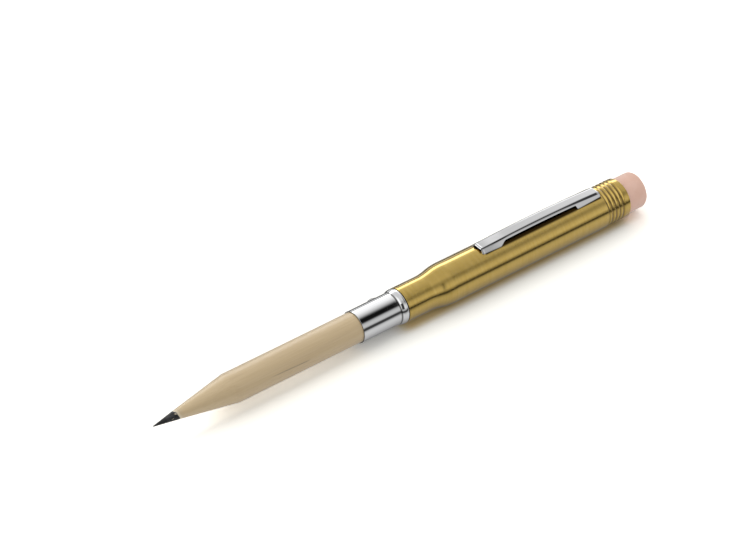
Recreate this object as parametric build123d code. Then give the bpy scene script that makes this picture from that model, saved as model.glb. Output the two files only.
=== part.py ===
from build123d import *
import os
from math import atan2, cos, degrees, hypot, radians, sin, sqrt, tan

os.makedirs("parts", exist_ok=True)

# Sizes are in millimetres. X runs along the pencil towards the point, Z is up, the barrel lies on Z = 0.

# Lengths along the axis, from the eraser end to the point
eraser_exposed = 5.8
ferrule_length = 6.8
barrel_length = 58.4
bead_width = 1.9
mouth_length = 10.7
pencil_exposed = 53.7

# Wood-cased pencil
wood_diameter = 7.26
lead_diameter = 2.2
point_angle = 20.6
point_radius = 0.12
grip_depth = 15.0

# Holder that grips the pencil
pencil_clearance = 0.03
holder_wall = 0.2
nose_length = 18.0
dome_length = 5.6
bead_height = 0.34
bead_slope = 0.35
bead_root_fillet = 0.2
bead_crest_fillet = 0.4
tongue_bump_length = 2.6
tongue_bump_radius = 0.6
tongue_bump_height = 0.26
tongue_bump_offset = 3.8
tongue_bump_angle = 45.0

# Barrel
neck_clearance = 0.1
neck_wall = 0.25
neck_length = 6.4
shoulder_length = 7.0
shoulder_step = 0.8
barrel_wall = 0.5
edge_break = 0.12
seam_turn = 45.0

# Ribbed ferrule and eraser
ferrule_setback = 0.13
rib_pitch = 1.12
rib_depth = 0.26
end_band = 1.0
ferrule_wall = 0.16
ferrule_floor = 0.6
ferrule_end_fillet = 0.2
spigot_length = 5.0
spigot_wall = 0.4
spigot_clearance = 0.02
eraser_clearance = 0.02
eraser_corner = 0.9
eraser_seat_gap = 0.05

# Clip
clip_width = 2.7
clip_thickness = 0.4
clip_setback = 9.9
clip_root_rise = 0.62
clip_middle_rise = 1.12
clip_foot_rise = 0.74
clip_gap = 0.06
flange_angle = 32.0
flange_depth = 0.62
flange_bend = 0.16
foot_length = 5.2
foot_lean = 50.0
root_flange_length = 6.6
window_fillet = 0.5
lip_length = 0.7
lip_angle = 34.0
root_bend = 1.0
tongue_setback = 0.12
tongue_width = 2.2
tongue_foot = 0.9
slot_clearance = 0.2

# Radii that follow from the pencil outwards
wood_radius = wood_diameter / 2
lead_radius = lead_diameter / 2
holder_bore = wood_radius + pencil_clearance
holder_radius = holder_bore + holder_wall
bead_radius = holder_radius + bead_height
neck_bore = holder_radius + neck_clearance
neck_radius = neck_bore + neck_wall
barrel_radius = neck_radius + shoulder_step
barrel_bore = barrel_radius - barrel_wall
rib_radius = barrel_radius - ferrule_setback
eraser_bore = rib_radius - rib_depth - ferrule_wall
eraser_radius = eraser_bore - eraser_clearance
spigot_radius = barrel_bore - spigot_clearance
spigot_bore = spigot_radius - spigot_wall

# Places along the axis, with the middle of the whole length at X = 0
front_length = bead_width + mouth_length + pencil_exposed
rear_length = barrel_length + ferrule_length + eraser_exposed
eraser_end = -(front_length + rear_length) / 2
ferrule_end = eraser_end + eraser_exposed
barrel_end = ferrule_end + ferrule_length
neck_mouth = barrel_end + barrel_length
bead_front = neck_mouth + bead_width
holder_mouth = bead_front + mouth_length
point_end = holder_mouth + pencil_exposed
pencil_rear = holder_mouth - grip_depth
shoulder_front = neck_mouth - neck_length
shoulder_rear = shoulder_front - shoulder_length
eraser_seat = barrel_end - ferrule_floor

# The sharpened cone is tangent to the small ball at the point
half_angle = radians(point_angle / 2)
cone_apex = point_end + point_radius / sin(half_angle) - point_radius
point_tangent_x = cone_apex - point_radius * cos(half_angle) ** 2 / sin(half_angle)
point_tangent_r = point_radius * cos(half_angle)
wood_shoulder = cone_apex - wood_radius / tan(half_angle)
lead_shoulder = cone_apex - lead_radius / tan(half_angle)

# The clip's root bend, which is also the line it flexes about
clip_bend_x = barrel_end + tongue_setback + root_bend
clip_bend_z = barrel_radius + clip_root_rise - root_bend
clip_foot_x = shoulder_rear - clip_setback


def turned(*lines):
    # A body of revolution about the pencil's axis
    return revolve(make_face(Plane.XZ * Curve(lines)), Axis.X)


def shoulder_curve(rear_radius, front_radius):
    # Two equal tangent arcs that take one radius to the other
    middle = ((shoulder_rear + shoulder_front) / 2, (rear_radius + front_radius) / 2)
    first = TangentArc((shoulder_rear, rear_radius), middle, tangent=(1, 0))
    second = TangentArc(middle, (shoulder_front, front_radius), tangent=first % 1)
    return first, second


def tongue_slot():
    # Notch at the top of the barrel's rear edge that the clip's tongue passes through
    front = barrel_end + tongue_setback + clip_thickness + slot_clearance
    length = front - barrel_end
    width = tongue_width + 2 * slot_clearance
    depth = barrel_radius - spigot_bore + clip_thickness
    return Pos((barrel_end + front) / 2, 0, barrel_radius - depth / 2 + edge_break) * Box(
        length, width, depth + 2 * edge_break)


def barrel():
    outer_rear = Line((barrel_end, barrel_radius), (shoulder_rear, barrel_radius))
    outer_neck = Line((shoulder_front, neck_radius), (neck_mouth, neck_radius))
    mouth = Line((neck_mouth, neck_radius), (neck_mouth, neck_bore))
    inner_neck = Line((neck_mouth, neck_bore), (shoulder_front, neck_bore))
    inner_rear = Line((shoulder_rear, barrel_bore), (barrel_end, barrel_bore))
    rear = Line((barrel_end, barrel_bore), (barrel_end, barrel_radius))
    body = turned(
        outer_rear, *shoulder_curve(barrel_radius, neck_radius), outer_neck, mouth,
        inner_neck, *shoulder_curve(barrel_bore, neck_bore), inner_rear, rear)
    rims = body.edges().filter_by(GeomType.CIRCLE).group_by(Axis.X)
    outer_rims = [rims[0].sort_by(SortBy.RADIUS)[-1], rims[-1].sort_by(SortBy.RADIUS)[-1]]
    # The turning's seam is kept off the line that the barrel lies on
    return Rot(seam_turn, 0, 0) * fillet(outer_rims, edge_break) - tongue_slot()


def rib_curve():
    # Grooves and ribs as one run of alternating arcs, then half a rib up to the plain end band
    half = rib_pitch / 2
    mean = rib_radius - rib_depth / 2
    count = int((ferrule_length - end_band) / rib_pitch)
    lines = []
    start = barrel_end
    for step in range(2 * count - 1):
        crest = mean + (rib_depth / 2 if step % 2 else -rib_depth / 2)
        lines.append(ThreePointArc((start, mean), (start - half / 2, crest), (start - half, mean)))
        start = start - half
    lines.append(TangentArc((start - half / 2, rib_radius), (start, mean), tangent=(1, 0)))
    lines.append(Line((start - half / 2, rib_radius), (ferrule_end, rib_radius)))
    return lines


def eraser_ferrule():
    spigot_end = barrel_end + spigot_length
    inside = Polyline(
        (ferrule_end, rib_radius), (ferrule_end, eraser_bore), (eraser_seat, eraser_bore), (eraser_seat, 0),
        (barrel_end, 0), (barrel_end, spigot_bore), (spigot_end, spigot_bore), (spigot_end, spigot_radius),
        (barrel_end, spigot_radius), (barrel_end, rib_radius - rib_depth / 2))
    body = turned(*rib_curve(), *inside.edges())
    end_rim = body.edges().filter_by(GeomType.CIRCLE).group_by(Axis.X)[0].sort_by(SortBy.RADIUS)[-1]
    return fillet(end_rim, ferrule_end_fillet) - tongue_slot()


def eraser():
    inner_end = eraser_seat - eraser_seat_gap
    length = inner_end - eraser_end
    plug = Pos((inner_end + eraser_end) / 2, 0, 0) * Rot(0, 90, 0) * Cylinder(eraser_radius, length)
    return fillet(plug.edges().filter_by(GeomType.CIRCLE).sort_by(Axis.X)[0], eraser_corner)


def tongue_bump(place, height):
    # Spindle that stands out of the holder's wall by the given height
    axis_radius = holder_radius + height - tongue_bump_radius
    half = tongue_bump_length / 2
    arc_radius = (half ** 2 + tongue_bump_height ** 2) / (2 * tongue_bump_height)
    end = sqrt(arc_radius ** 2 - (arc_radius - tongue_bump_radius) ** 2)
    arc = ThreePointArc((-end, 0), (0, tongue_bump_radius), (end, 0))
    spindle = revolve(make_face(Plane.XZ * Curve([arc, Line((end, 0), (-end, 0))])), Axis.X)
    return Rot(tongue_bump_angle, 0, 0) * Pos(place, 0, axis_radius) * spindle


def pencil_holder():
    nose_end = neck_mouth - nose_length
    dome_x = nose_end + dome_length
    outline = FilletPolyline(
        (holder_mouth, holder_radius), (bead_front, holder_radius), (bead_front - bead_slope, bead_radius),
        (neck_mouth + bead_slope, bead_radius), (neck_mouth, holder_radius), (dome_x, holder_radius),
        radius=(bead_root_fillet, bead_crest_fillet, bead_crest_fillet, bead_root_fillet))
    dome = EllipticalCenterArc((dome_x, 0), dome_length, holder_radius, start_angle=90, arc_size=90)
    inner_length = dome_length - holder_wall
    hollow = EllipticalCenterArc((dome_x, 0), inner_length, holder_bore, start_angle=90, arc_size=90)
    nose = Line((nose_end, 0), (nose_end + holder_wall, 0))
    bore = Line((dome_x, holder_bore), (holder_mouth, holder_bore))
    mouth = Line((holder_mouth, holder_bore), (holder_mouth, holder_radius))
    shell = turned(*outline.edges(), dome, hollow, nose, bore, mouth)
    front_bump = tongue_bump(bead_front + tongue_bump_offset, tongue_bump_height)
    rear_bump = tongue_bump(neck_mouth - tongue_bump_offset, neck_clearance / 2)
    bore_length = holder_mouth - dome_x
    core = Pos((holder_mouth + dome_x) / 2, 0, 0) * Rot(0, 90, 0) * Cylinder(holder_bore, bore_length)
    return shell + (front_bump - core) + (rear_bump - core)


def pencil_wood():
    outline = Polyline(
        (pencil_rear, lead_radius), (pencil_rear, wood_radius), (wood_shoulder, wood_radius),
        (lead_shoulder, lead_radius), close=True)
    return turned(*outline.edges())


def pencil_lead():
    outline = Polyline(
        (point_end, 0), (pencil_rear, 0), (pencil_rear, lead_radius), (lead_shoulder, lead_radius),
        (point_tangent_x, point_tangent_r))
    ball = TangentArc((point_end, 0), (point_tangent_x, point_tangent_r), tangent=(0, 1))
    return turned(*outline.edges(), ball)


def clip_section():
    # Flat top with a flange leaning outwards on each side, seen along the pencil
    lean = radians(flange_angle)
    half = clip_width / 2
    reach = clip_middle_rise + 2 * clip_thickness
    corner = half - clip_thickness * tan((radians(90) - lean) / 2)
    outer_x = half + reach * tan(lean)
    inner_x = corner + (reach - clip_thickness) * tan(lean)
    face = make_face(Polyline(
        (-outer_x, -reach), (-half, 0), (half, 0), (outer_x, -reach), (inner_x, -reach),
        (corner, -clip_thickness), (-corner, -clip_thickness), (-inner_x, -reach), close=True))
    top = [v for v in face.vertices() if abs(v.Y) < clip_thickness / 4]
    face = fillet(top, clip_thickness + flange_bend)
    under = [v for v in face.vertices() if abs(v.Y + clip_thickness) < clip_thickness / 4 and abs(v.X) < half]
    return fillet(under, flange_bend)


def clip_arch():
    # Centre and radius of the circle through the root, the middle and the foot of the clip's top face
    ax, az = clip_bend_x, barrel_radius + clip_root_rise
    bx, bz = (clip_bend_x + clip_foot_x) / 2, barrel_radius + clip_middle_rise
    cx, cz = clip_foot_x, barrel_radius + clip_foot_rise
    a2, b2, c2 = ax ** 2 + az ** 2, bx ** 2 + bz ** 2, cx ** 2 + cz ** 2
    d = 2 * (ax * (bz - cz) + bx * (cz - az) + cx * (az - bz))
    x = (a2 * (bz - cz) + b2 * (cz - az) + c2 * (az - bz)) / d
    z = (a2 * (cx - bx) + b2 * (ax - cx) + c2 * (bx - ax)) / d
    return x, z, hypot(ax - x, az - z)


def clip_window(x, z, radius):
    # What is cut from both flanges between the root and the foot
    rear = clip_bend_x + root_flange_length
    front = clip_foot_x - foot_length
    reach = 2 * clip_width
    lean = reach * tan(radians(foot_lean))
    outline = Polyline(
        (rear, barrel_radius - reach), (rear, barrel_radius + reach),
        (front - lean, barrel_radius + reach), (front + lean, barrel_radius - reach), close=True)
    face = make_face(outline) & (Pos(x, z) * Circle(radius - flange_depth))
    face = fillet(face.vertices().group_by(Axis.Y)[-1] + face.vertices().group_by(Axis.Y)[-2], window_fillet)
    return extrude(Plane.XZ * face, clip_width * 2, both=True)


def clip():
    x, z, radius = clip_arch()
    arch_axis = Axis((x, 0, z), (0, 1, 0))
    rear_turn = degrees(atan2(clip_bend_x - x, barrel_radius + clip_root_rise - z))
    front_turn = degrees(atan2(clip_foot_x - x, barrel_radius + clip_foot_rise - z))
    section = Plane((x, 0, z + radius), x_dir=(0, 1, 0), z_dir=(1, 0, 0)) * clip_section()
    body = revolve(section.rotate(arch_axis, rear_turn), arch_axis, revolution_arc=front_turn - rear_turn)
    seat = Rot(0, 90, 0) * Cylinder(barrel_radius + clip_gap, 2 * barrel_length)
    body = body - clip_window(x, z, radius) - seat

    # Root: the top bends down through the slot, and its clinched foot lies under the spigot
    inner_bend = root_bend - clip_thickness
    bend = Circle(root_bend) - Circle(inner_bend)
    bend = bend & (Pos(-root_bend / 2, root_bend / 2) * Rectangle(root_bend, root_bend))
    foot_bottom = spigot_bore - slot_clearance - clip_thickness - clip_bend_z
    stem = Pos(-root_bend + clip_thickness / 2, foot_bottom / 2) * Rectangle(clip_thickness, -foot_bottom)
    foot_span = clip_thickness + tongue_foot
    foot_middle = Pos(-root_bend + foot_span / 2, foot_bottom + clip_thickness / 2)
    foot = foot_middle * Rectangle(foot_span, clip_thickness)
    tongue = extrude(Plane.XZ * (bend + stem + foot), tongue_width / 2, both=True)
    tongue = (Pos(x, 0, z + radius - root_bend) * tongue).rotate(arch_axis, rear_turn)

    # Lip: the free end turns up
    plate = Rot(0, 0, lip_angle) * Pos(lip_length / 2, 0) * SlotCenterToCenter(lip_length, clip_thickness)
    lip = extrude(Plane.XZ * plate, clip_width / 2 - clip_thickness / 4, both=True)
    lip = (Pos(x, 0, z + radius - clip_thickness / 2) * lip).rotate(arch_axis, front_turn)
    return body + tongue + lip


def save(name, shape):
    # Everything is drawn about the axis, and lifted here so that the barrel lies on Z = 0
    solid = (Pos(0, 0, barrel_radius) * shape).solid()
    solid.label = name
    export_step(solid, os.path.join("parts", name + ".step"))


wood = pencil_wood()
save("barrel", barrel())
save("eraser_ferrule", eraser_ferrule())
save("eraser", eraser())
save("clip", clip())
save("pencil_holder", pencil_holder())
save("pencil_slat_upper", split(wood, Plane.XY, keep=Keep.TOP))
save("pencil_slat_lower", split(wood, Plane.XY, keep=Keep.BOTTOM))
save("pencil_lead", pencil_lead())
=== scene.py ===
from math import atan2, cos, hypot, pi, radians, sin, sqrt, tan, tau
import bmesh
import bpy
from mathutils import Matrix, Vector


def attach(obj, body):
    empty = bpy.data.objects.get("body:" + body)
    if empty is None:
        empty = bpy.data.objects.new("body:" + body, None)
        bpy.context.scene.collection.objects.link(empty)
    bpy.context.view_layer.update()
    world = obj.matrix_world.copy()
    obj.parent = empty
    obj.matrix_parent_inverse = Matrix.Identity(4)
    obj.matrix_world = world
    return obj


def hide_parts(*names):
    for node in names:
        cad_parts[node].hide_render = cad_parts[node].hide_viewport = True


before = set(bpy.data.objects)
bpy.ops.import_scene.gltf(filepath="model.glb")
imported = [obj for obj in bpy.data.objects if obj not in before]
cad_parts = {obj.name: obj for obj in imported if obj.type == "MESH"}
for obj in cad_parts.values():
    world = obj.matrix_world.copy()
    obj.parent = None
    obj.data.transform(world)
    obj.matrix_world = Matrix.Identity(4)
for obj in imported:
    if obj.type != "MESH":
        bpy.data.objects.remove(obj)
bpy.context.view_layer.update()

mm = 0.001
axisHeight = 5.01  # the pencil's axis above the table, in mm


# a socket with arithmetic on it, for shader and geometry trees alike
class Wire:
    def __init__(self, tree, socket=None):
        self.tree = tree
        self.socket = socket

    def make(self, kind, settings=None, inputs=None, out=0):
        node = self.tree.nodes.new(kind)
        for name, value in (settings or {}).items():
            if name == "stops":  # a ramp's colours
                ramp = node.color_ramp
                while len(ramp.elements) < len(value):
                    ramp.elements.new(1.0)
                for element, (place, colour) in zip(ramp.elements, value):
                    element.position = place
                    element.color = colour
            else:
                setattr(node, name, value)
        for key, value in (inputs or {}).items():
            if isinstance(value, Wire):
                self.tree.links.new(value.socket, node.inputs[key])
            else:
                node.inputs[key].default_value = value
        return Wire(self.tree, node.outputs[out])

    def also(self, out):
        return Wire(self.tree, self.socket.node.outputs[out])

    def maths(self, operation, *values):
        return self.make("ShaderNodeMath", {"operation": operation}, dict(enumerate(values)))

    def __add__(self, other):
        return self.maths("ADD", self, other)

    def __radd__(self, other):
        return self.maths("ADD", other, self)

    def __sub__(self, other):
        return self.maths("SUBTRACT", self, other)

    def __rsub__(self, other):
        return self.maths("SUBTRACT", other, self)

    def __mul__(self, other):
        return self.maths("MULTIPLY", self, other)

    def __rmul__(self, other):
        return self.maths("MULTIPLY", other, self)

    def __truediv__(self, other):
        return self.maths("DIVIDE", self, other)

    def between(self, low, high):  # 0 below low, 1 above high, soft in the middle
        return self.make("ShaderNodeMapRange", {"interpolation_type": "SMOOTHSTEP"},
                         {"Value": self, "From Min": low, "From Max": high})

    def within(self, low, full, fall, gone):  # 1 from full to fall, 0 outside low and gone
        return self.between(low, full) * (1.0 - self.between(fall, gone))


# the one tree that turns a profile about the pencil's axis
def turnedBodyTree():
    tree = bpy.data.node_groups.new("turnedBody", "GeometryNodeTree")
    wanted = (("Geometry", "NodeSocketGeometry", None), ("Sides", "NodeSocketInt", 128),
              ("Turn Start", "NodeSocketFloat", 0.0), ("Turn Sweep", "NodeSocketFloat", tau),
              ("Axis Height", "NodeSocketFloat", axisHeight * mm), ("Rib Start", "NodeSocketFloat", 0.0),
              ("Rib Pitch", "NodeSocketFloat", mm), ("Rib Depth", "NodeSocketFloat", 0.0),
              ("Material", "NodeSocketMaterial", None))
    for name, kind, value in wanted:
        socket = tree.interface.new_socket(name, in_out="INPUT", socket_type=kind)
        if value is not None:
            socket.default_value = value
    tree.interface.new_socket("Geometry", in_out="OUTPUT", socket_type="NodeSocketGeometry")
    draw = Wire(tree)
    given = draw.make("NodeGroupInput")
    profile, sides = given.also("Geometry"), given.also("Sides")
    count = draw.make("GeometryNodeAttributeDomainSize", {"component": "MESH"},
                      {"Geometry": profile}, "Point Count")
    grid = draw.make("GeometryNodeMeshGrid", None, {"Vertices X": sides + 1, "Vertices Y": count}, "Mesh")
    index = draw.make("GeometryNodeInputIndex")
    around = draw.maths("FLOOR", index / count)
    step = index - around * count
    place = draw.make("GeometryNodeInputPosition")
    onProfile = draw.make("GeometryNodeSampleIndex", {"data_type": "FLOAT_VECTOR", "domain": "POINT"},
                          {"Geometry": profile, "Value": place, "Index": step}, "Value")
    flag = draw.make("GeometryNodeInputNamedAttribute", {"data_type": "FLOAT"},
                     {"Name": "ribbed"}, "Attribute")
    ribbed = draw.make("GeometryNodeSampleIndex", {"data_type": "FLOAT", "domain": "POINT"},
                       {"Geometry": profile, "Value": flag, "Index": step}, "Value")
    along = draw.make("ShaderNodeSeparateXYZ", None, {0: onProfile}, "X")
    wave = draw.maths("SINE", (given.also("Rib Start") - along) / given.also("Rib Pitch") * tau)
    radius = along.also("Y") - ribbed * given.also("Rib Depth") * (wave + 1.0) * 0.5
    angle = given.also("Turn Start") + given.also("Turn Sweep") * around / sides
    turned = draw.make("ShaderNodeCombineXYZ", None, {
        0: along, 1: radius * draw.maths("COSINE", angle),
        2: radius * draw.maths("SINE", angle) + given.also("Axis Height")})
    moved = draw.make("GeometryNodeSetPosition", None, {"Geometry": grid, "Position": turned})
    closed = draw.make("GeometryNodeMergeByDistance", None, {"Geometry": moved, "Distance": 1e-6})
    painted = draw.make("GeometryNodeSetMaterial", None, {"Geometry": closed, "Material": given.also("Material")})
    end = tree.nodes.new("NodeGroupOutput")
    tree.links.new(painted.socket, end.inputs[0])
    return tree


turnedBody = turnedBodyTree()


def linked(name, data):
    thing = bpy.data.objects.new(name, data)
    bpy.context.scene.collection.objects.link(thing)
    return thing


def softPath(corners, steps=6, hold=0.06):
    # corners are (along, radius, rounding); a rounded one becomes a short arc with a holding point each side
    path = []
    for i, (x, r, rounding) in enumerate(corners):
        if rounding == 0 or i in (0, len(corners) - 1):
            path.append((x, r))
            continue
        here = Vector((x, r))
        back = Vector(corners[i - 1][:2]) - here
        ahead = Vector(corners[i + 1][:2]) - here
        half = back.angle(ahead) / 2
        reach = rounding / tan(half)
        first, last = here + back.normalized() * reach, here + ahead.normalized() * reach
        middle = here + (back.normalized() + ahead.normalized()).normalized() * (rounding / sin(half))
        if back.length > reach + 2 * hold:
            path.append(tuple(first + back.normalized() * hold))
        a, b = first - middle, last - middle
        sweep = a.angle_signed(b)
        for k in range(steps + 1):
            t = -sweep * k / steps  # angle_signed runs clockwise
            path.append((middle.x + a.x * cos(t) - a.y * sin(t), middle.y + a.x * sin(t) + a.y * cos(t)))
        if ahead.length > reach + 2 * hold:
            path.append(tuple(last + ahead.normalized() * hold))
    return path


def stepped(start, end, gap):
    # points from start up to, not at, end
    count = max(1, round(hypot(end[0] - start[0], end[1] - start[1]) / gap))
    return [(start[0] + (end[0] - start[0]) * k / count, start[1] + (end[1] - start[1]) * k / count)
            for k in range(count)]


def sCurve(start, end, steps=14):
    # two equal arcs from one radius to another, level at both ends
    (x0, r0), (x1, r1) = start, end
    run, rise = (x1 - x0) / 2, (r1 - r0) / 2
    bend = (run * run + rise * rise) / (2 * abs(rise))
    full = 2 * atan2(abs(rise), run)
    sign = 1 if rise > 0 else -1
    angles = [full * k / steps for k in range(steps + 1)]
    half = [(x0 + bend * sin(a), r0 + sign * bend * (1 - cos(a))) for a in angles]
    other = [(x1 - (x - x0), r1 - (r - r0)) for x, r in reversed(half)]
    return half + other[1:]


def quarterDome(centre, length, height, steps=28):
    # from the straight wall to the nose, in even steps of angle
    angles = [pi / 2 * k / steps for k in range(1, steps + 1)]
    return [(centre - length * sin(a), height * cos(a)) for a in angles]


def turnPiece(name, path, material, sides=160, start=0.0, sweep=tau, ribs=None, ribSpan=None):
    mesh = bpy.data.meshes.new(name)
    mesh.from_pydata([(x * mm, max(r, 0.0) * mm, 0) for x, r in path],
                     [(i, i + 1) for i in range(len(path) - 1)], [])
    flag = mesh.attributes.new("ribbed", "FLOAT", "POINT")
    if ribSpan:
        flag.data.foreach_set("value", [float(ribSpan[0] <= i < ribSpan[1]) for i in range(len(path))])
    piece = linked(name, mesh)
    modifier = piece.modifiers.new("turned", "NODES")
    modifier.node_group = turnedBody
    sockets = {i.name: i.identifier for i in turnedBody.interface.items_tree if i.in_out == "INPUT"}
    modifier[sockets["Sides"]] = sides
    modifier[sockets["Turn Start"]] = start
    modifier[sockets["Turn Sweep"]] = sweep
    modifier[sockets["Material"]] = material
    if ribs:
        modifier[sockets["Rib Start"]] = ribs[0] * mm
        modifier[sockets["Rib Pitch"]] = ribs[1] * mm
        modifier[sockets["Rib Depth"]] = ribs[2] * mm
    asMesh(piece)
    return piece


def asMesh(piece):
    # what the modifiers give, as a plain mesh
    seen = piece.evaluated_get(bpy.context.evaluated_depsgraph_get())
    mesh = bpy.data.meshes.new_from_object(seen)
    mesh.name = piece.name
    piece.modifiers.clear()
    piece.data = mesh


def tidyMesh(piece, crease=35.0, capEnds=False):
    work = bmesh.new()
    work.from_mesh(piece.data)
    bmesh.ops.remove_doubles(work, verts=work.verts, dist=1e-7)
    if capEnds:
        bmesh.ops.holes_fill(work, edges=[e for e in work.edges if e.is_boundary], sides=0)
    bmesh.ops.recalc_face_normals(work, faces=work.faces)
    work.to_mesh(piece.data)
    work.free()
    if "ribbed" in piece.data.attributes:
        piece.data.attributes.remove(piece.data.attributes["ribbed"])
    piece.data.shade_smooth()
    piece.data.set_sharp_from_angle(angle=radians(crease))
    return piece


def cutNotch(piece, low, high):
    # takes a box out of a closed piece
    work = bmesh.new()
    bmesh.ops.create_cube(work, size=1.0)
    for v in work.verts:
        v.co = Vector([(low[k] + high[k]) / 2 * mm + v.co[k] * (high[k] - low[k]) * mm for k in range(3)])
    mesh = bpy.data.meshes.new("notch")
    work.to_mesh(mesh)
    work.free()
    cutter = linked("notch", mesh)
    modifier = piece.modifiers.new("notch", "BOOLEAN")
    modifier.operation = "DIFFERENCE"
    modifier.solver = "EXACT"
    modifier.object = cutter
    asMesh(piece)
    bpy.data.objects.remove(cutter)
    bpy.data.meshes.remove(mesh)


def fitted(piece, body, node):
    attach(piece, body)
    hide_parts(node)
    print("  ", piece.name, len(piece.data.polygons), "faces")
    return piece


def newFinish(name, **fixed):
    material = bpy.data.materials.new(name)
    material.use_nodes = True
    shader = material.node_tree.nodes["Principled BSDF"]
    for key, value in fixed.items():
        shader.inputs[key.replace("_", " ")].default_value = value
    return material, Wire(material.node_tree), shader


def feed(shader, **wires):
    for key, wire in wires.items():
        wire.tree.links.new(wire.socket, shader.inputs[key.replace("_", " ")])


def stretched(draw, scale, detail=3.0, rough=0.55, shift=(0.0, 0.0, 0.0)):
    # noise on the piece's own coordinates, with its own scale along each axis
    where = draw.make("ShaderNodeTexCoord", out="Object")
    mapped = draw.make("ShaderNodeMapping", None, {"Vector": where, "Location": shift, "Scale": scale})
    return draw.make("ShaderNodeTexNoise", None, {
        "Vector": mapped, "Scale": 1.0, "Detail": detail, "Roughness": rough})


def noises(draw, look, *names):
    return [stretched(draw, *look[name]) for name in names]


def blended(draw, mask, first, second):
    return draw.make("ShaderNodeMix", {"data_type": "RGBA"}, {0: mask, 6: first, 7: second}, 2)


def spots(draw):
    return draw.make("ShaderNodeSeparateXYZ", None, {0: draw.make("ShaderNodeTexCoord", out="Object")})


def inMm(draw):
    # the place on a piece: along the axis, sideways, and height above the axis
    spot = spots(draw)
    return spot * 1000.0, spot.also("Y") * 1000.0, spot.also("Z") * 1000.0 - axisHeight


def bumped(draw, strength, distance, height):
    return draw.make("ShaderNodeBump", None, {"Strength": strength, "Distance": distance, "Height": height}, "Normal")


# a noise is given as its scale along each axis, detail, roughness and shift
brassLook = {
    "light": (0.69, 0.485, 0.130, 1), "deep": (0.59, 0.395, 0.075, 1), "tarnish": (0.40, 0.265, 0.06, 1),
    "groove": (0.12, 0.07, 0.012, 1), "shade": (0.02, 0.009, 0.002, 1),
    "lines": ((5200, 60, 60), 3.0, 0.6), "fine": ((15000, 300, 300), 2.0, 0.6, (3.1, 1.7, 0.4)),
    "cloud": ((190, 320, 320), 4.0, 0.6, (1.3, 5.2, 2.2)),
    "rough": 0.10, "coat": 0.8, "lineDepth": 0.000004, "stain": 0.14, "grooveShare": 0.66, "shadeShare": 0.98,
}
# painted shade under the clip, for its shadow and the clip's dark underside seen in the brass, in mm: its run, the
# stretch where the flange is cut away, and its sides
clipShade = {"along": (-55.8, -55.5, -21.1, -20.8), "bared": (-48.4, -47.6, -26.5, -25.6),
             "inner": 2.12, "outer": 2.46, "inset": 0.07, "spread": 0.14}


def brassFinish(name, look, worn=1.0, groove=None, strip=None):
    material, draw, shader = newFinish(name, Metallic=1.0, Coat_Weight=look["coat"], Coat_Roughness=0.10)
    along, sideways, height = inMm(draw)
    lines, fine, cloud = noises(draw, look, "lines", "fine", "cloud")
    turnedTone = (lines * 0.5 + fine * 0.5).between(0.32, 0.68)
    base = blended(draw, turnedTone, look["deep"], look["light"])
    stain = (cloud * 0.8 + lines * 0.2).between(0.52, 0.78) * (look["stain"] * worn)
    base = blended(draw, stain, base, look["tarnish"])
    if groove:  # darker down in the grooves
        radius = draw.maths("SQRT", height * height + sideways * sideways)
        base = blended(draw, (1.0 - radius.between(*groove)) * look["grooveShare"], base, look["groove"])
    if strip:  # painted shade under the clip, with no coat
        bared = along.within(*strip["bared"])
        inner, outer = strip["inner"] - bared * strip["inset"], strip["outer"] + bared * strip["spread"]
        under = 1.0 - draw.maths("ABSOLUTE", sideways).between(inner, outer)
        under = under * height.between(0.0, 1.0) * along.within(*strip["along"])
        base = blended(draw, under * look["shadeShare"], base, look["shade"])
        feed(shader, Coat_Weight=look["coat"] - under * look["coat"])
    rough = look["rough"] + fine * 0.08 + stain * 0.2
    bump = bumped(draw, 1.0, look["lineDepth"], lines * 0.12 + fine * 0.88)
    feed(shader, Base_Color=base, Roughness=rough, Normal=bump)
    return material


# the rim, fold and crease colours are painted: shade at the mouth, a dark reflection along the clip's folds, shade
# where the bead meets the tube
chromeLook = {
    "tint": (0.88, 0.885, 0.89, 1), "dull": (0.74, 0.74, 0.75, 1), "rim": (0.10, 0.095, 0.09, 1),
    "fold": (0.03, 0.03, 0.033, 1), "creaseShade": (0.06, 0.056, 0.05, 1),
    "wave": ((260, 420, 420), 1.0, 0.4), "rub": ((900, 5200, 5200), 3.0, 0.6, (2.0, 0.3, 4.4)),
    "haze": ((330, 520, 520), 4.0, 0.65, (7.7, 2.1, 1.1)),
    "rough": 0.012, "waveDepth": 0.000003, "rimShadeShare": 0.85, "creaseShadeShare": 0.8,
}
# the painted dark reflection along each fold of the clip, in mm from its middle, and how it broadens towards the root
paintedFoldLine = {"inner": 1.06, "outer": 1.37, "soft": 0.06, "start": (-55.25, -54.75), "root": (-53.5, -42.0),
            "rootInner": 0.07, "rootOuter": 0.16, "share": 0.91, "rootShare": 0.04}


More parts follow.
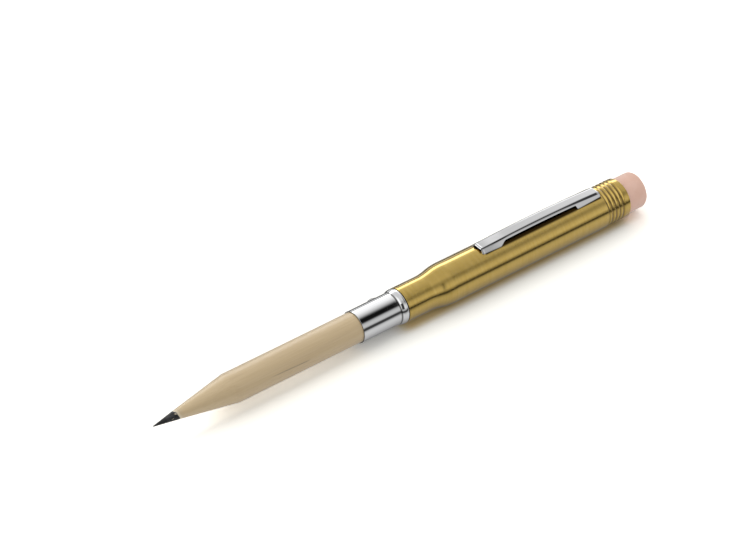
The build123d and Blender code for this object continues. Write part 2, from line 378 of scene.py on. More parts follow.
def chromeFinish(name, look, satin=0.0, rim=None, corners=(), fold=None):
    material, draw, shader = newFinish(name, Metallic=1.0)
    along, sideways = inMm(draw)[:2]
    wave, rub, cloud = noises(draw, look, "wave", "rub", "haze")
    haze = cloud.between(0.5, 0.8)
    base = blended(draw, haze * 0.35 + rub.between(0.6, 0.85) * 0.15, look["tint"], look["dull"])
    if rim:  # painted shade on the mouth's edge and end face, where the wood goes in
        base = blended(draw, along.between(rim - 0.09, rim - 0.04) * look["rimShadeShare"], base, look["rim"])
    if fold:  # a painted dark reflection along the fold; it starts past the bend at the root, which is bright
        root, soft = 1.0 - along.between(*fold["root"]), fold["soft"]
        inner, outer = fold["inner"] - root * fold["rootInner"], fold["outer"] + root * fold["rootOuter"]
        line = draw.maths("ABSOLUTE", sideways).within(inner - soft, inner + soft, outer - soft, outer + soft)
        line = line * along.between(*fold["start"])
        base = blended(draw, line * (fold["share"] + root * fold["rootShare"]), base, look["fold"])
    for place, reach in corners:  # painted shade in the crease where the bead meets the tube
        off = draw.maths("ABSOLUTE", along - place)
        base = blended(draw, (1.0 - off.between(reach * 0.4, reach)) * look["creaseShadeShare"], base, look["creaseShade"])
    rough = look["rough"] + satin + haze * (0.015 + satin) + rub * (0.008 + satin * 0.6)
    bump = bumped(draw, 0.35, look["waveDepth"], wave + rub * (0.04 + satin))
    feed(shader, Base_Color=base, Roughness=rough, Normal=bump)
    return material


woodLook = {
    "pale": (0.58, 0.415, 0.19, 1), "mid": (0.505, 0.345, 0.143, 1), "streak": (0.33, 0.21, 0.09, 1),
    "pith": (0.21, 0.13, 0.05, 1), "dust": (0.30, 0.25, 0.18, 1), "fringe": (0.74, 0.62, 0.42, 1),
    "graphite": (0.05, 0.048, 0.047, 1),
    "broad": ((22, 260, 260), 4.0, 0.55), "grain": ((90, 3600, 3600), 3.0, 0.6, (0.4, 3.3, 1.2)),
    "pores": ((420, 5200, 5200), 2.0, 0.5, (5.1, 0.2, 2.9)), "fibre": ((240, 9000, 9000), 2.0, 0.6, (1.8, 6.6, 3.5)),
    "shavings": ((3400, 300, 300), 3.0, 0.6, (9.2, 4.1, 0.7)), "wobble": ((260, 900, 900), 3.0, 0.6, (0.9, 8.3, 5.4)),
    "radius": 3.63, "shoulder": 49.23, "leadEdge": 63.15, "edgeTilt": 0.64, "edgeSlant": 0.45,
    "pithAround": 10.70, "pithMiddle": 33.5, "pithLean": 0.035, "pithWidth": (0.03, 0.13),
    "pithAlong": (29.0, 31.0, 37.0, 41.0), "bumpDepth": 0.00004,
}


def woodFinish(name, look):
    material, draw, shader = newFinish(
        name, IOR=1.65, Specular_IOR_Level=1.0, Coat_Weight=1.0, Coat_IOR=1.75, Coat_Roughness=0.42,
        Sheen_Weight=1.0, Sheen_Roughness=0.32)
    along, sideways, height = inMm(draw)
    broad, grain, pores, fibre = noises(draw, look, "broad", "grain", "pores", "fibre")
    shavings, wobble = noises(draw, look, "shavings", "wobble")
    base = blended(draw, (broad * 0.55 + grain * 0.45).between(0.36, 0.66), look["pale"], look["mid"])
    streak = grain.between(0.60, 0.80) * 0.22 + pores.between(0.66, 0.80) * 0.35
    base = blended(draw, streak, base, look["streak"])
    cone = along.between(look["shoulder"] - 0.15, look["shoulder"] + 0.15)
    base = blended(draw, cone * 0.22, base, look["pale"])
    tilt = (sideways - height) * look["edgeTilt"] + 1.0  # 0 over the top, 2 under the lead
    edge, lead = along + tilt * look["edgeSlant"], look["leadEdge"]
    dust = (edge + wobble * 3.2).between(lead - 0.6, lead + 2.6) * 0.40
    base = blended(draw, dust, base, look["dust"])
    fringe = (edge + wobble * 1.4).between(lead - 0.05, lead + 0.35)  # torn fibres next to the lead
    base = blended(draw, fringe * 0.6, base, look["fringe"])
    smear = (edge + wobble * 1.1).between(lead + 0.42, lead + 0.58)
    base = blended(draw, smear, base, look["graphite"])
    around = draw.maths("ARCTAN2", height, sideways * -1.0) * look["radius"]
    line = look["pithAround"] - (along - look["pithMiddle"]) * look["pithLean"]
    off = draw.maths("ABSOLUTE", around - line + wobble * 0.16)
    pith = (1.0 - off.between(*look["pithWidth"])) * along.within(*look["pithAlong"])  # one short dark grain line
    base = blended(draw, pith * 0.9, base, look["pith"])
    rough = 0.40 + grain * 0.12
    relief = fibre * 0.5 + grain * 0.4 - pores.between(0.66, 0.82) * 0.8 + cone * shavings * 0.8
    feed(shader, Base_Color=base, Roughness=rough, Normal=bumped(draw, 0.6, look["bumpDepth"], relief))
    return material


leadLook = {
    "dark": (0.011, 0.011, 0.012, 1), "sheen": (0.05, 0.05, 0.053, 1), "shaving": (0.50, 0.43, 0.31, 1),
    "turned": ((4200, 500, 500), 3.0, 0.65), "facets": ((500, 1300, 1300), 2.0, 0.5, (2.2, 0.6, 7.1)),
    "flecks": ((700, 2100, 2100), 2.0, 0.5, (4.4, 1.9, 0.8)), "edge": 63.15, "bumpDepth": 0.00005,
}


def leadFinish(name, look):
    material, draw, shader = newFinish(name, Metallic=0.35, Specular_IOR_Level=0.6)
    along = inMm(draw)[0]
    turned, facets, flecks = noises(draw, look, "turned", "facets", "flecks")
    base = blended(draw, (turned * 0.5 + facets * 0.5).between(0.4, 0.68), look["dark"], look["sheen"])
    nearWood = 1.0 - along.between(look["edge"] + 0.4, look["edge"] + 1.5)
    base = blended(draw, flecks.between(0.60, 0.66) * nearWood, base, look["shaving"])  # shavings of wood
    bump = bumped(draw, 0.7, look["bumpDepth"], turned * 0.5 + facets)
    feed(shader, Base_Color=base, Roughness=0.34 + turned * 0.2, Normal=bump)
    return material


rubberLook = {
    "pink": (0.765, 0.49, 0.385, 1), "pale": (0.80, 0.53, 0.43, 1), "scuff": (0.66, 0.42, 0.33, 1),
    "cloud": ((330, 330, 330), 4.0, 0.6), "grit": ((5200, 5200, 5200), 3.0, 0.7, (3.0, 1.0, 6.0)),
    "end": -68.65, "bumpDepth": 0.00006,
}


def rubberFinish(name, look):
    material, draw, shader = newFinish(name, Specular_IOR_Level=0.45, Sheen_Weight=0.85, Sheen_Roughness=0.35)
    along = inMm(draw)[0]
    cloud, grit = noises(draw, look, "cloud", "grit")
    base = blended(draw, cloud.between(0.35, 0.7), look["pink"], look["pale"])
    base = blended(draw, grit.between(0.62, 0.8) * 0.25, base, look["scuff"])
    worn = (1.0 - (along + cloud * 1.2).between(look["end"] + 0.5, look["end"] + 1.7)) * 0.3
    base = blended(draw, worn, base, look["pale"])
    bump = bumped(draw, 0.5, look["bumpDepth"], grit + cloud * 0.6)
    feed(shader, Base_Color=base, Roughness=0.72 + grit * 0.2, Normal=bump)
    return material


clipLook = dict(chromeLook, tint=(0.63, 0.63, 0.635, 1), dull=(0.52, 0.52, 0.525, 1))
# the clip's inner face is near black: painted shade under the clip
shadedUnderLook = dict(chromeLook, tint=(0.04, 0.037, 0.034, 1), dull=(0.02, 0.018, 0.016, 1))
brass = brassFinish("turnedBrass", brassLook, strip=clipShade)
ribbedBrass = brassFinish("ribbedBrass", dict(brassLook, rough=0.12), worn=1.3, groove=(4.62, 4.83))
chrome = chromeFinish("chromePlate", chromeLook, rim=14.95, corners=((4.33, 0.28), (2.47, 0.24)))
clipChrome = chromeFinish("clipPlate", clipLook, satin=0.03, fold=paintedFoldLine)
clipUnderShade = chromeFinish("clipUnderShaded", shadedUnderLook, satin=0.3)
wood = woodFinish("bareWood", woodLook)
graphite = leadFinish("graphiteCore", leadLook)
rubber = rubberFinish("eraserRubber", rubberLook)
print("finishes made:", len(bpy.data.materials))


barrelSizes = {"rear": -56.05, "radius": 5.01, "bore": 4.51, "shoulderRear": -11.05, "shoulderFront": -4.05,
               "neck": 4.21, "neckBore": 3.96, "mouth": 2.35, "edge": 0.12, "innerEdge": 0.04,
               "slotFront": -55.33, "slotWidth": 2.6, "slotLow": 3.4, "slotHigh": 6.0, "slotPast": 0.5}


def cutSlot(piece, s, rear):
    # the slot that the clip's tongue passes through
    half = s["slotWidth"] / 2
    cutNotch(piece, (rear, -half, axisHeight + s["slotLow"]), (s["slotFront"], half, axisHeight + s["slotHigh"]))


def makeBarrel(s):
    rim = softPath([(s["rear"], s["bore"], 0), (s["rear"], s["radius"], s["edge"]),
                    (s["shoulderRear"], s["radius"], 0)])[:-1]
    outer = stepped(rim[-1], (s["shoulderRear"], s["radius"]), 2.5)[1:]
    shoulder = sCurve((s["shoulderRear"], s["radius"]), (s["shoulderFront"], s["neck"]))
    lip = softPath([(s["shoulderFront"], s["neck"], 0), (s["mouth"], s["neck"], s["edge"]),
                    (s["mouth"], s["neckBore"], s["innerEdge"]), (s["shoulderFront"], s["neckBore"], 0)])[1:-1]
    inner = sCurve((s["shoulderRear"], s["bore"]), (s["shoulderFront"], s["neckBore"]))[::-1]
    path = rim + outer + shoulder + lip + inner + [(s["rear"], s["bore"])]
    piece = turnPiece("barrelTube", path, brass, sides=192)
    tidyMesh(piece)
    cutSlot(piece, s, s["rear"] - s["slotPast"])
    tidyMesh(piece)
    return fitted(piece, "barrel", "barrel")


ferruleSizes = {"end": -62.85, "front": -56.05, "radius": 4.88, "bore": 4.46, "seat": -56.65, "spigotEnd": -51.05,
                "spigot": 4.49, "spigotBore": 4.09, "ribPitch": 1.12, "ribDepth": 0.26, "ribsFrom": -61.37, "rim": 0.2,
                "slotOff": 0.002}


def makeFerrule(s):
    rim = softPath([(s["end"], s["bore"], 0), (s["end"], s["radius"], s["rim"]), (s["ribsFrom"], s["radius"], 0)])
    ribs = stepped((s["ribsFrom"], s["radius"]), (s["front"], s["radius"]), 0.05)
    inside = [(s["front"], s["spigot"]), (s["spigotEnd"], s["spigot"]), (s["spigotEnd"], s["spigotBore"]),
              (s["front"], s["spigotBore"]), (s["front"], 0), (s["seat"], 0), (s["seat"], s["bore"]),
              (s["end"], s["bore"])]
    first = len(rim) - 1
    path = rim[:-1] + ribs + [(s["front"], s["radius"])] + inside
    piece = turnPiece("eraserFerrule", path, ribbedBrass, ribs=(s["front"], s["ribPitch"], s["ribDepth"]),
                      ribSpan=(first, first + len(ribs) + 1))
    tidyMesh(piece, 40.0)
    cutSlot(piece, barrelSizes, s["front"] + s["slotOff"])
    tidyMesh(piece, 40.0)
    return fitted(piece, "barrel", "eraser_ferrule")


eraserSizes = {"end": -68.65, "inner": -56.70, "radius": 4.44, "corner": 0.9, "innerCorner": 0.1,
               "wearReach": 3.0, "wearDeep": 0.035, "wearThin": 0.004}


def makeEraser(s):
    path = softPath([(s["inner"], 0, 0), (s["inner"], s["radius"], s["innerCorner"]),
                     (s["end"], s["radius"], s["corner"]), (s["end"], 0, 0)], steps=10)
    face = stepped(path[-2], (s["end"], 0), 0.6)
    piece = turnPiece("eraserPlug", path[:-2] + face + [(s["end"], 0)], rubber, sides=128)
    tidyMesh(piece, 60.0)
    for v in piece.data.vertices:  # rubbed a little unevenly at the exposed end, always inwards
        x, y, z = v.co / mm
        wear = max(0.0, 1.0 - (x - s["end"]) / s["wearReach"])
        dent = s["wearDeep"] * wear * (1 + sin(y * 1.7 + 0.6) * cos(z * 1.9 - 0.8))
        v.co.x += dent * mm * 0.8
        v.co.y *= 1 - s["wearThin"] * wear * (1 + sin(z * 1.3 + y * 0.9))
    return fitted(piece, "eraser", "eraser")


holderSizes = {"mouth": 14.95, "radius": 3.86, "bore": 3.66, "rim": 0.06, "beadFront": 4.25, "beadRear": 2.35,
               "bead": 4.20, "beadCrest": 2.95, "beadSlope": 0.25, "frontRound": 0.12, "crestRound": 0.3,
               "rearRound": 0.15,
               "domeStart": -10.05, "domeLength": 5.6, "wall": 0.2, "bumpLength": 2.9, "bumpRadius": 0.8,
               "bumpHeight": 0.26, "rearBumpHeight": 0.05, "bumpOffset": 3.8, "bumpAngle": 45.0, "bumpStep": 0.1}


def makeHolder(s):
    front, rear = s["beadFront"] + s["bumpOffset"], s["beadRear"] - s["bumpOffset"]
    half = s["bumpLength"] / 2 + 0.2
    tube, crest = s["radius"], s["bead"]
    path = softPath([(s["mouth"], s["bore"], 0), (s["mouth"], tube, s["rim"]), (front + half, tube, 0)])[:-1]
    path = path + stepped((front + half, tube), (front - half, tube), s["bumpStep"])
    rise, run = crest - tube, s["beadFront"] - s["beadCrest"]
    bend = (rise * rise + run * run) / (2 * rise)  # the bead swells in one arc from its front edge to its crest
    arcSteps, firstStep = 20, 3
    back = [run * k / arcSteps for k in range(firstStep, arcSteps + 1)]
    arc = [(s["beadFront"] - b, crest - bend + sqrt(bend * bend - (run - b) ** 2)) for b in back]
    foot = softPath([(front - half, tube, 0), (s["beadFront"], tube, s["frontRound"]), arc[0] + (0,)], steps=8)
    heel = softPath([arc[-1] + (0,), (s["beadRear"] + s["beadSlope"], crest, s["crestRound"]),
                     (s["beadRear"], tube, s["rearRound"]), (rear + half, tube, 0)], steps=8)
    path = path + foot[:-1] + arc[:-1] + heel[:-1]
    path = path + stepped((rear + half, tube), (rear - half, tube), s["bumpStep"])
    path = path + stepped((rear - half, tube), (s["domeStart"], tube), 2.0)
    path = path + [(s["domeStart"], tube)] + quarterDome(s["domeStart"], s["domeLength"], tube)
    hollow = quarterDome(s["domeStart"], s["domeLength"] - s["wall"], s["bore"])[::-1]
    path = path + hollow + [(s["domeStart"], s["bore"]), (s["mouth"], s["bore"])]
    piece = turnPiece("pencilHolder", path, chrome, sides=192)
    tidyMesh(piece)
    for v in piece.data.vertices:  # the two small spring bumps pressed out of the wall
        x, y, z = v.co.x / mm, v.co.y / mm, v.co.z / mm - axisHeight
        radius = hypot(y, z)
        if abs(radius - tube) > 0.01:
            continue
        side = radius * (atan2(z, -y) - radians(s["bumpAngle"]))
        for middle, height in ((front, s["bumpHeight"]), (rear, s["rearBumpHeight"])):
            off = hypot((x - middle) / s["bumpLength"] * 2, side / s["bumpRadius"])
            if off < 1:
                grow = 1 + height * (0.5 + 0.5 * cos(pi * off)) / radius
                v.co.y = y * grow * mm
                v.co.z = (z * grow + axisHeight) * mm
    return fitted(piece, "holder", "pencil_holder")


# how far the rings slide back at the first and the last ring of a cone: on average, and more on the lower side
woodSizes = {"rear": -0.05, "radius": 3.63, "rearEdge": 0.1, "groove": 1.1, "shoulder": 49.23, "leadEdge": 63.15,
             "seam": 0.02, "firstBack": (0.95, 0.55), "lastBack": (0.45, 0.45)}
leadSizes = {"rear": -0.05, "radius": 1.1, "shoulder": 63.15, "tip": 68.65, "ball": 0.12, "halfAngle": 10.3,
             "firstBack": (0.45, 0.45), "lastBack": (0.2, 0.0)}


def offCentre(piece, first, last, firstBack, lastBack):
    # the point is cut a little off centre: rings slide back, most on the lower front side
    for v in piece.data.vertices:
        x, y, z = v.co.x / mm, v.co.y / mm, v.co.z / mm - axisHeight
        if x < first - 0.001:
            continue
        low = (y - z) / max(1e-6, hypot(y, z)) / sqrt(2)
        share = min(1.0, (x - first) / (last - first))
        back = [b[0] + b[1] * low for b in (firstBack, lastBack)]
        v.co.x = (x - back[0] - (back[1] - back[0]) * share) * mm


def makeSlat(s, name, node, start):
    path = softPath([(s["rear"], s["groove"], 0), (s["rear"], s["radius"], s["rearEdge"]),
                     (s["shoulder"], s["radius"], 0)])[:-1]
    path = path + stepped(path[-1], (s["shoulder"], s["radius"]), 2.0)[1:]
    path = path + stepped((s["shoulder"], s["radius"]), (s["leadEdge"], s["groove"]), 0.7)
    path = path + [(s["leadEdge"], s["groove"]), (s["rear"], s["groove"])]
    trim = s["seam"] / s["radius"]  # the two slats part by a hair at their seam
    piece = turnPiece(name, path, wood, sides=96, start=start + trim / 2, sweep=pi - trim)
    tidyMesh(piece, 30.0, capEnds=True)
    offCentre(piece, s["shoulder"], s["leadEdge"], s["firstBack"], s["lastBack"])
    tidyMesh(piece, 30.0)
    return fitted(piece, "pencil", node)


def makeLead(s):
    a = radians(s["halfAngle"])
    apex = s["tip"] + s["ball"] / sin(a) - s["ball"]
    ballAt = s["tip"] - s["ball"]
    meeting = (apex - s["ball"] * cos(a) ** 2 / sin(a), s["ball"] * cos(a))
    cone = stepped((s["shoulder"], s["radius"]), meeting, 0.25)
    angles = [a + (pi / 2 - a) * k / 8 for k in range(8)]
    tip = [(ballAt + s["ball"] * sin(b), s["ball"] * cos(b)) for b in angles]
    path = [(s["rear"], 0), (s["rear"], s["radius"])] + cone + tip + [(s["tip"], 0)]
    piece = turnPiece("graphiteLead", path, graphite, sides=96)
    tidyMesh(piece, 30.0)
    offCentre(piece, s["shoulder"], s["tip"], s["firstBack"], s["lastBack"])
    tidyMesh(piece, 30.0)
    return fitted(piece, "pencil", "pencil_lead")


# the clip is one sheet, from the clinched foot through the bend and along the arch to the turned-up lip
clipSizes = {"bendX": -55.40, "footX": -20.95, "rootRise": 0.62, "middleRise": 1.115, "footRise": 0.74,
             "width": 2.7, "thickness": 0.4, "bend": 0.5, "tongueWidth": 2.2, "tongueFoot": 0.9, "tongueLow": 3.49,
             "flangeLean": 32.0, "flangeRound": 0.6, "rootRound": 0.8, "roundSpan": (-37.0, -28.0), "flangeDepth": 0.54,
             "rootFlange": 7.07, "rootStep": (0.25, 0.2), "footFlange": 5.2, "footStep": (1.1, 0.9),
             "lipRound": 0.5, "lipTurn": 16.0, "noseTurn": 84.0, "noseRound": 0.45, "edge": 0.1, "edgeAngle": 50.0,
             "barrel": 5.01, "gap": 0.07, "pivotX": -54.875, "pivotGap": 0.01, "swing": 0.11, "archSteps": 210}


def clipArch(s):
    (ax, az), (bx, bz), (cx, cz) = [(x, s["barrel"] + rise) for x, rise in (
        (s["bendX"], s["rootRise"]), ((s["bendX"] + s["footX"]) / 2, s["middleRise"]), (s["footX"], s["footRise"]))]
    a2, b2, c2 = ax ** 2 + az ** 2, bx ** 2 + bz ** 2, cx ** 2 + cz ** 2
    d = 2 * (ax * (bz - cz) + bx * (cz - az) + cx * (az - bz))
    x = (a2 * (bz - cz) + b2 * (cz - az) + c2 * (az - bz)) / d
    z = (a2 * (cx - bx) + b2 * (ax - cx) + c2 * (bx - ax)) / d
    return x, z, hypot(ax - x, az - z)


def softStep(value, low, high):
    t = min(1.0, max(0.0, (value - low) / (high - low)))
    return t * t * (3 - 2 * t)


def makeClip(s):
    x0, z0, radius = clipArch(s)
    rearTurn = atan2(s["bendX"] - x0, s["barrel"] + s["rootRise"] - z0)
    frontTurn = atan2(s["footX"] - x0, s["barrel"] + s["footRise"] - z0)
    half = s["width"] / 2
    # stations down the middle of the sheet's outer face: (x, z, tilt, part)
    stations = []
    bx, bz = x0 + (radius - s["bend"]) * sin(rearTurn), z0 + (radius - s["bend"]) * cos(rearTurn)
    low, wall = s["tongueLow"], s["thickness"]
    for k in range(4):  # clinched foot, lying under the barrel's wall
        stations.append((bx - s["bend"] + wall + s["tongueFoot"] * (1 - k / 3), low, pi, "tongue"))
    for k in range(1, 5):
        a = pi / 2 * k / 4
        stations.append((bx - s["bend"] + wall * (1 - sin(a)), low + wall * (1 - cos(a)), pi + a, "tongue"))
    for k in range(1, 5):
        stations.append((bx - s["bend"], low + wall + (bz - low - wall) * k / 4, 3 * pi / 2, "tongue"))
    for k in range(1, 17):
        a = (pi / 2 + rearTurn) * k / 16
        stations.append((bx - s["bend"] * cos(a), bz + s["bend"] * sin(a), a - pi / 2, "bend" if k > 5 else "tongue"))
    for k in range(1, s["archSteps"] + 1):
        a = rearTurn + (frontTurn - rearTurn) * k / s["archSteps"]
        stations.append((x0 + radius * sin(a), z0 + radius * cos(a), a, "arch"))
    endX, endZ, endA = stations[-1][:3]
    lipRound, lipTurn = s["lipRound"], radians(s["lipTurn"])
    for k in range(1, 7):  # the lip turns up, then rolls over into a rounded nose
        a = lipTurn * k / 6
        stations.append((endX + lipRound * (sin(a) * cos(endA) + (1 - cos(a)) * sin(endA)),
                         endZ + lipRound * ((1 - cos(a)) * cos(endA) - sin(a) * sin(endA)), endA - a, "lip"))
    lastX, lastZ, lastA = stations[-1][:3]
    for k in range(1, 13):
        a = radians(s["noseTurn"]) * k / 12
        stations.append((lastX + s["noseRound"] * (sin(lastA + a) - sin(lastA)),
                         lastZ + s["noseRound"] * (cos(lastA + a) - cos(lastA)), lastA + a, "lip"))
    flatSteps, arcSteps, flangeSteps = 4, 8, 3

    def bendAt(x):  # the fold: its radius, its turn, the flat half width, and where it ends
        share = softStep(x, *s["roundSpan"])
        bendR = s["rootRound"] + (s["flangeRound"] - s["rootRound"]) * share
        turn = radians(90.0 - s["flangeLean"])
        level = half - bendR * tan(turn / 2)
        return bendR, turn, level, level + bendR * sin(turn), bendR * (1 - cos(turn))

    def clearAt(x):  # the barrel's round and a gap, wider behind the pivot so that the spring can lift
        return s["barrel"] + max(s["gap"], s["pivotGap"] + (s["pivotX"] - x) * s["swing"])

    def flangeDepth(x, z):  # deep enough to reach the barrel at the root and at the foot
        out = half
        turn, bendOut, bendDrop = [bendAt(x)[k] for k in (1, 3, 4)]
        for step in range(12):
            touch = z - sqrt(clearAt(x) ** 2 - out * out)
            out = bendOut + max(0.0, touch - bendDrop) / tan(turn)
        rootEnd, footStart = s["bendX"] + s["rootFlange"], s["footX"] - s["footFlange"]
        (rootLow, rootHigh), (footLow, footHigh) = s["rootStep"], s["footStep"]
        share = max(1 - softStep(x, rootEnd - rootLow, rootEnd + rootHigh),
                    softStep(x, footStart - footLow, footStart + footHigh))
        return s["flangeDepth"] + (touch - s["flangeDepth"]) * share

    def sectionPoint(column, x, z):  # across the sheet, flat, fold and leaning flange: its turn, outer face, inner face
        bendR, turn, level, bendOut, bendDrop = bendAt(x)
        side, i = (1 if column >= 0 else -1), abs(column)
        if i <= flatSteps:
            y = side * level * i / flatSteps
            return 0.0, (y, 0.0), (y, -wall)
        i -= flatSteps
        if i <= arcSteps:
            a = turn * i / arcSteps
            return a, *[(side * (level + r * sin(a)), r * cos(a) - bendR) for r in (bendR, bendR - wall)]
        share = (i - arcSteps) / flangeSteps
        long = (flangeDepth(x, z) - bendDrop) / sin(turn)
        inY, inDrop = bendOut - wall * sin(turn), -bendDrop - wall * cos(turn)
        lean = inY * cos(turn) - (z + inDrop) * sin(turn)  # the inner face stops where it meets the barrel's round
        room = lean ** 2 - inY ** 2 - (z + inDrop) ** 2 + clearAt(x) ** 2
        short = min(long, -lean - sqrt(room)) if room > 0 else long
        return turn, *[(side * (y + run * share * cos(turn)), drop - run * share * sin(turn))
                       for y, drop, run in ((bendOut, -bendDrop, long), (inY, inDrop, short))]

    top = flatSteps + arcSteps + flangeSteps
    widest = {"tongue": flatSteps, "bend": top, "arch": top, "lip": top}
    turnWhole = bendAt(0.0)[1]
    work = bmesh.new()
    rows, mates = [], {}
    for x, z, tilt, part in stations:
        row = {}
        for column in range(-widest[part], widest[part] + 1):
            if part == "tongue":
                y = s["tongueWidth"] / 2 * column / flatSteps
                fold, (outY, outDrop), (inY, inDrop) = 0.0, (y, 0.0), (y, -wall)
            else:
                fold, (outY, outDrop), (inY, inDrop) = sectionPoint(column, x, z)
            tip = tilt if part == "arch" else 0.0  # at both ends the flange hangs straight down
            inward = tilt if part in ("arch", "tongue") else tilt * (1 - fold / turnWhole)
            px, pz = x + outDrop * sin(tip), z + outDrop * cos(tip) + axisHeight
            qx, qz = px + (inDrop - outDrop) * sin(inward), pz + (inDrop - outDrop) * cos(inward)
            grow = max(1.0, clearAt(x) / hypot(inY, qz - axisHeight)) if part != "tongue" else 1.0
            inY, qz = inY * grow, axisHeight + (qz - axisHeight) * grow  # nothing reaches into the barrel's wall
            row[column] = work.verts.new((px * mm, outY * mm, pz * mm))
            mates[row[column]] = work.verts.new((qx * mm, inY * mm, qz * mm))
        rows.append(row)
    for a, b in zip(rows, rows[1:]):
        for column in range(-top, top):
            corners = [r.get(c) for r, c in ((a, column), (b, column), (b, column + 1), (a, column + 1))]
            if None not in corners:
                work.faces.new(corners)
                under = work.faces.new([mates[v] for v in reversed(corners)])
                under.material_index = 1  # the inner face gets the near-black finish: painted shade
    for edge in [e for e in work.edges if e.is_boundary and e.verts[0] in mates]:
        p, q = edge.verts
        work.faces.new((p, q, mates[q], mates[p]))
    bmesh.ops.delete(work, geom=[v for v in work.verts if not v.link_faces], context="VERTS")
    bmesh.ops.remove_doubles(work, verts=work.verts, dist=2e-6)
    bmesh.ops.recalc_face_normals(work, faces=work.faces)
    mesh = bpy.data.meshes.new("springClip")
    work.to_mesh(mesh)
    work.free()
    mesh.materials.append(clipChrome)
    mesh.materials.append(clipUnderShade)
    piece = linked("springClip", mesh)
    soft = piece.modifiers.new("soft", "BEVEL")
    soft.width = s["edge"] * mm
    soft.segments = 3
    soft.limit_method = "ANGLE"
    soft.angle_limit = radians(s["edgeAngle"])
    soft.use_clamp_overlap = True
    asMesh(piece)
    tidyMesh(piece, 40.0)
    return fitted(piece, "clip", "clip")


print("pieces:")
makeBarrel(barrelSizes)
makeFerrule(ferruleSizes)
makeEraser(eraserSizes)
makeHolder(holderSizes)
makeSlat(woodSizes, "slatUpper", "pencil_slat_upper", 0.0)
makeSlat(woodSizes, "slatLower", "pencil_slat_lower", pi)
makeLead(leadSizes)
makeClip(clipSizes)


def grey(tone):
    return (tone, tone, tone, 1)


def aimed(thing, place, aim):
    thing.location = place
    thing.rotation_euler = (Vector(aim) - Vector(place)).to_track_quat("-Z", "Y").to_euler()


# in metres: where the lit sheet ends in reflections, and where the sheet that is seen is lifted, warm or brass
# coloured; the lift by the point, the warm tint and the brass colour are painted light in the shadow
tableSizes = {
    "side": 6.0, "tone": 0.90, "seenTone": 1.4, "mirrorTone": 0.86,
    "litReach": (0.010, 0.060), "litLoss": 0.93, "litAlong": (-0.022, -0.010), "litNarrow": 0.35, "bounceLoss": 0.7,
    "pointAlong": (0.004, 0.036), "pointReach": (0.0012, 0.0036), "pointLift": 0.65,
    "farReach": (0.15, 0.40), "farLift": 0.12, "warmReach": (0.08, 0.14), "warm": (0.0, 0.012, 0.06),
    "castAlong": (-0.068, -0.060, 0.000, 0.006), "castReach": (0.0022, 0.0052), "cast": (0.27, 0.43, 0.66),
}


def makeTable(s):
    mesh = bpy.data.meshes.new("tableTop")
    h = s["side"] / 2
    mesh.from_pydata([(-h, -h, 0), (h, -h, 0), (h, h, 0), (-h, h, 0)], [], [(0, 1, 2, 3)])
    table = linked("tableTop", mesh)
    material = bpy.data.materials.new("paleTable")
    material.use_nodes = True
    nodes, links = material.node_tree.nodes, material.node_tree.links
    nodes.remove(nodes["Principled BSDF"])
    draw = Wire(material.node_tree)
    ray = draw.make("ShaderNodeLightPath", out="Is Camera Ray")
    mirrored = ray.also("Is Glossy Ray")
    spot = spots(draw)
    near = draw.maths("ABSOLUTE", spot.also("Y"))
    far = draw.maths("SQRT", spot * spot + spot.also("Y") * spot.also("Y"))
    away = (near * (1.0 + spot.between(*s["litAlong"]) * s["litNarrow"])).between(*s["litReach"])
    bounced = draw.maths("MINIMUM", ray.also("Diffuse Depth"), 1.0)  # what the metal throws back is weaker
    mirror = s["mirrorTone"] * (1.0 - away * s["litLoss"]) * (1.0 - bounced * s["bounceLoss"])
    tone = s["tone"] * (1.0 - mirrored * (1.0 - mirror))
    # painted light: the sheet is lifted by the point, so the shadow under the wood is lighter there
    lift = spot.between(*s["pointAlong"]) * (1.0 - near.between(*s["pointReach"])) * s["pointLift"]
    lift = lift + far.between(*s["farReach"]) * s["farLift"]
    tone = tone + ray * (s["seenTone"] - s["tone"] + lift)  # a white sheet to the camera
    warm = ray * (1.0 - far.between(*s["warmReach"]))  # painted warm bounce light: the shadow is a little warm
    cast = ray * (1.0 - near.between(*s["castReach"])) * spot.within(*s["castAlong"])  # painted brass-coloured bounce light in the shadow by the barrel
    parts = [tone * (1.0 - warm * w - cast * c) for w, c in zip(s["warm"], s["cast"])]
    colour = draw.make("ShaderNodeCombineColor", None, dict(enumerate(parts)))
    paint = draw.make("ShaderNodeBsdfDiffuse", None, {"Color": colour})
    links.new(paint.socket, nodes["Material Output"].inputs["Surface"])
    mesh.materials.append(material)


# grey of the room round the long axis, by degrees: 0 is level at the back, 90 straight up, 180 level at the front
gapBands = [
    (-90, 0.30), (0, 0.85), (6, 0.85), (11, 0.50), (18, 0.42), (21, 0.80), (24, 2.6), (34, 3.4), (38, 1.8), (42, 1.12),
    (54, 1.08), (62, 1.0), (70, 0.90), (81, 0.68), (88, 0.55), (95, 0.34), (100, 0.20), (105, 0.06), (112, 0.006),
    (129, 0.006), (133, 0.03), (138, 0.17), (143, 0.42), (150, 0.52), (157, 0.57), (163, 0.57), (169, 0.46),
    (174, 0.17), (178, 0.03), (184, 0.03), (270, 0.03)]
openBands = [
    (-90, 0.30), (0, 0.85), (6, 0.85), (11, 0.50), (18, 0.42), (21, 0.80), (24, 2.6), (34, 3.4), (38, 1.8), (42, 1.05),
    (47, 0.86), (56, 0.70), (84, 0.66), (104, 0.67), (113, 0.66), (118, 0.57), (123, 0.46), (129, 0.39), (134, 0.43),
    (138, 0.48), (149, 0.69), (160, 0.79), (166, 0.76), (171, 0.60), (176, 0.34), (180, 0.26), (184, 0.24), (270, 0.03)]
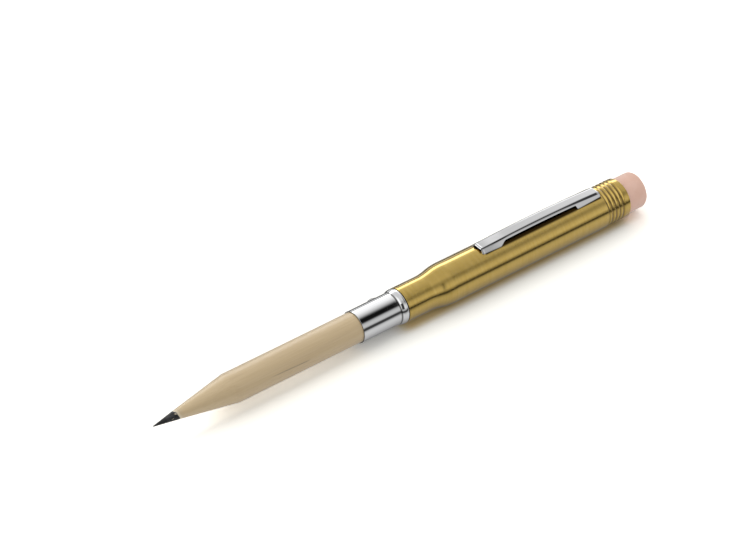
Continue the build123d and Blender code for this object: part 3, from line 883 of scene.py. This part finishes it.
# patches of the room: along is the direction's share of the long axis, turn goes round it, from straight down
roomSizes = {
    "strength": 3.4, "sky": 0.70, "seen": 1.0, "gapAlong": (0.466, 0.475, 0.4908, 0.4930),
    "ends": (0.82, 0.95), "endTone": 0.05,
    "cardAlong": (-0.05, 0.32, 0.60, 0.85), "cardTurn": (0.40, 0.54, 0.675, 0.725), "cardShare": 0.9, "cardTone": 1.25,
    "frontAlong": (-0.14, -0.06, 0.30, 0.40), "frontTurn": (0.612, 0.628, 0.712, 0.732), "frontShare": 0.96,
    "frontTone": 0.002, "bounceShare": 0.8, "bounceTone": 0.01,
}


def makeRoom(s):
    world = bpy.data.worlds.new("studio")
    bpy.context.scene.world = world
    world.use_nodes = True
    draw = Wire(world.node_tree)
    way = draw.make("ShaderNodeSeparateXYZ", None, {0: draw.make("ShaderNodeTexCoord", out="Generated")})
    turn = draw.maths("FRACT", draw.maths("ARCTAN2", way.also("Z"), way.also("Y") * -1.0) / tau + 1.25)
    side = draw.maths("ABSOLUTE", way)

    def bands(greys):
        stops = [((a + 90) / 360, grey(g / s["strength"])) for a, g in greys]
        return draw.make("ShaderNodeValToRGB", {"stops": stops}, {0: turn})

    room = blended(draw, side.within(*s["gapAlong"]), bands(openBands), bands(gapBands))  # a dark gap on each side
    room = blended(draw, side.between(*s["ends"]), room, grey(s["endTone"]))
    card = way.within(*s["cardAlong"]) * turn.within(*s["cardTurn"])  # a bright card over the near end
    room = blended(draw, card * s["cardShare"], room, grey(s["cardTone"] / s["strength"]))
    front = way.within(*s["frontAlong"]) * turn.within(*s["frontTurn"])  # where the one who looks stands
    room = blended(draw, front * s["frontShare"], room, grey(s["frontTone"]))
    ray = draw.make("ShaderNodeLightPath", out="Is Camera Ray")
    bounced = draw.maths("MINIMUM", ray.also("Diffuse Depth"), 1.0)
    room = blended(draw, bounced * s["bounceShare"], room, grey(s["bounceTone"]))
    shown = blended(draw, ray.also("Is Glossy Ray"), grey(s["sky"] / s["strength"]), room)
    shown = blended(draw, ray, shown, grey(s["seen"] / s["strength"]))
    back = world.node_tree.nodes["Background"]
    back.inputs["Strength"].default_value = s["strength"]
    world.node_tree.links.new(shown.socket, back.inputs["Color"])


keySizes = {"power": 4.2, "size": 1.4, "place": (0.0, -0.42, 0.83), "aim": (0.0, 0.0, 0.0)}


def makeKey(s):
    key = bpy.data.lights.new("softKey", "AREA")
    key.shape = "SQUARE"
    key.size = s["size"]
    key.energy = s["power"]
    lamp = linked("softKey", key)
    aimed(lamp, s["place"], s["aim"])
    lamp.visible_glossy = False


cameraView = {"lens": 134.4, "sensor": 36.0, "nearest": 0.01,
              "place": (0.3072, 0.3787, 0.3919), "aim": (-0.00477, -0.01752, 0.0)}


def makeCamera(s):
    data = bpy.data.cameras.new("photoView")
    data.lens = s["lens"]
    data.sensor_width = s["sensor"]
    data.sensor_fit = "HORIZONTAL"
    data.clip_start = s["nearest"]
    camera = linked("photoView", data)
    aimed(camera, s["place"], s["aim"])
    bpy.context.scene.camera = camera


makeTable(tableSizes)
makeRoom(roomSizes)
makeKey(keySizes)
makeCamera(cameraView)
bpy.context.scene.view_settings.view_transform = "Standard"
print("stage and camera set")
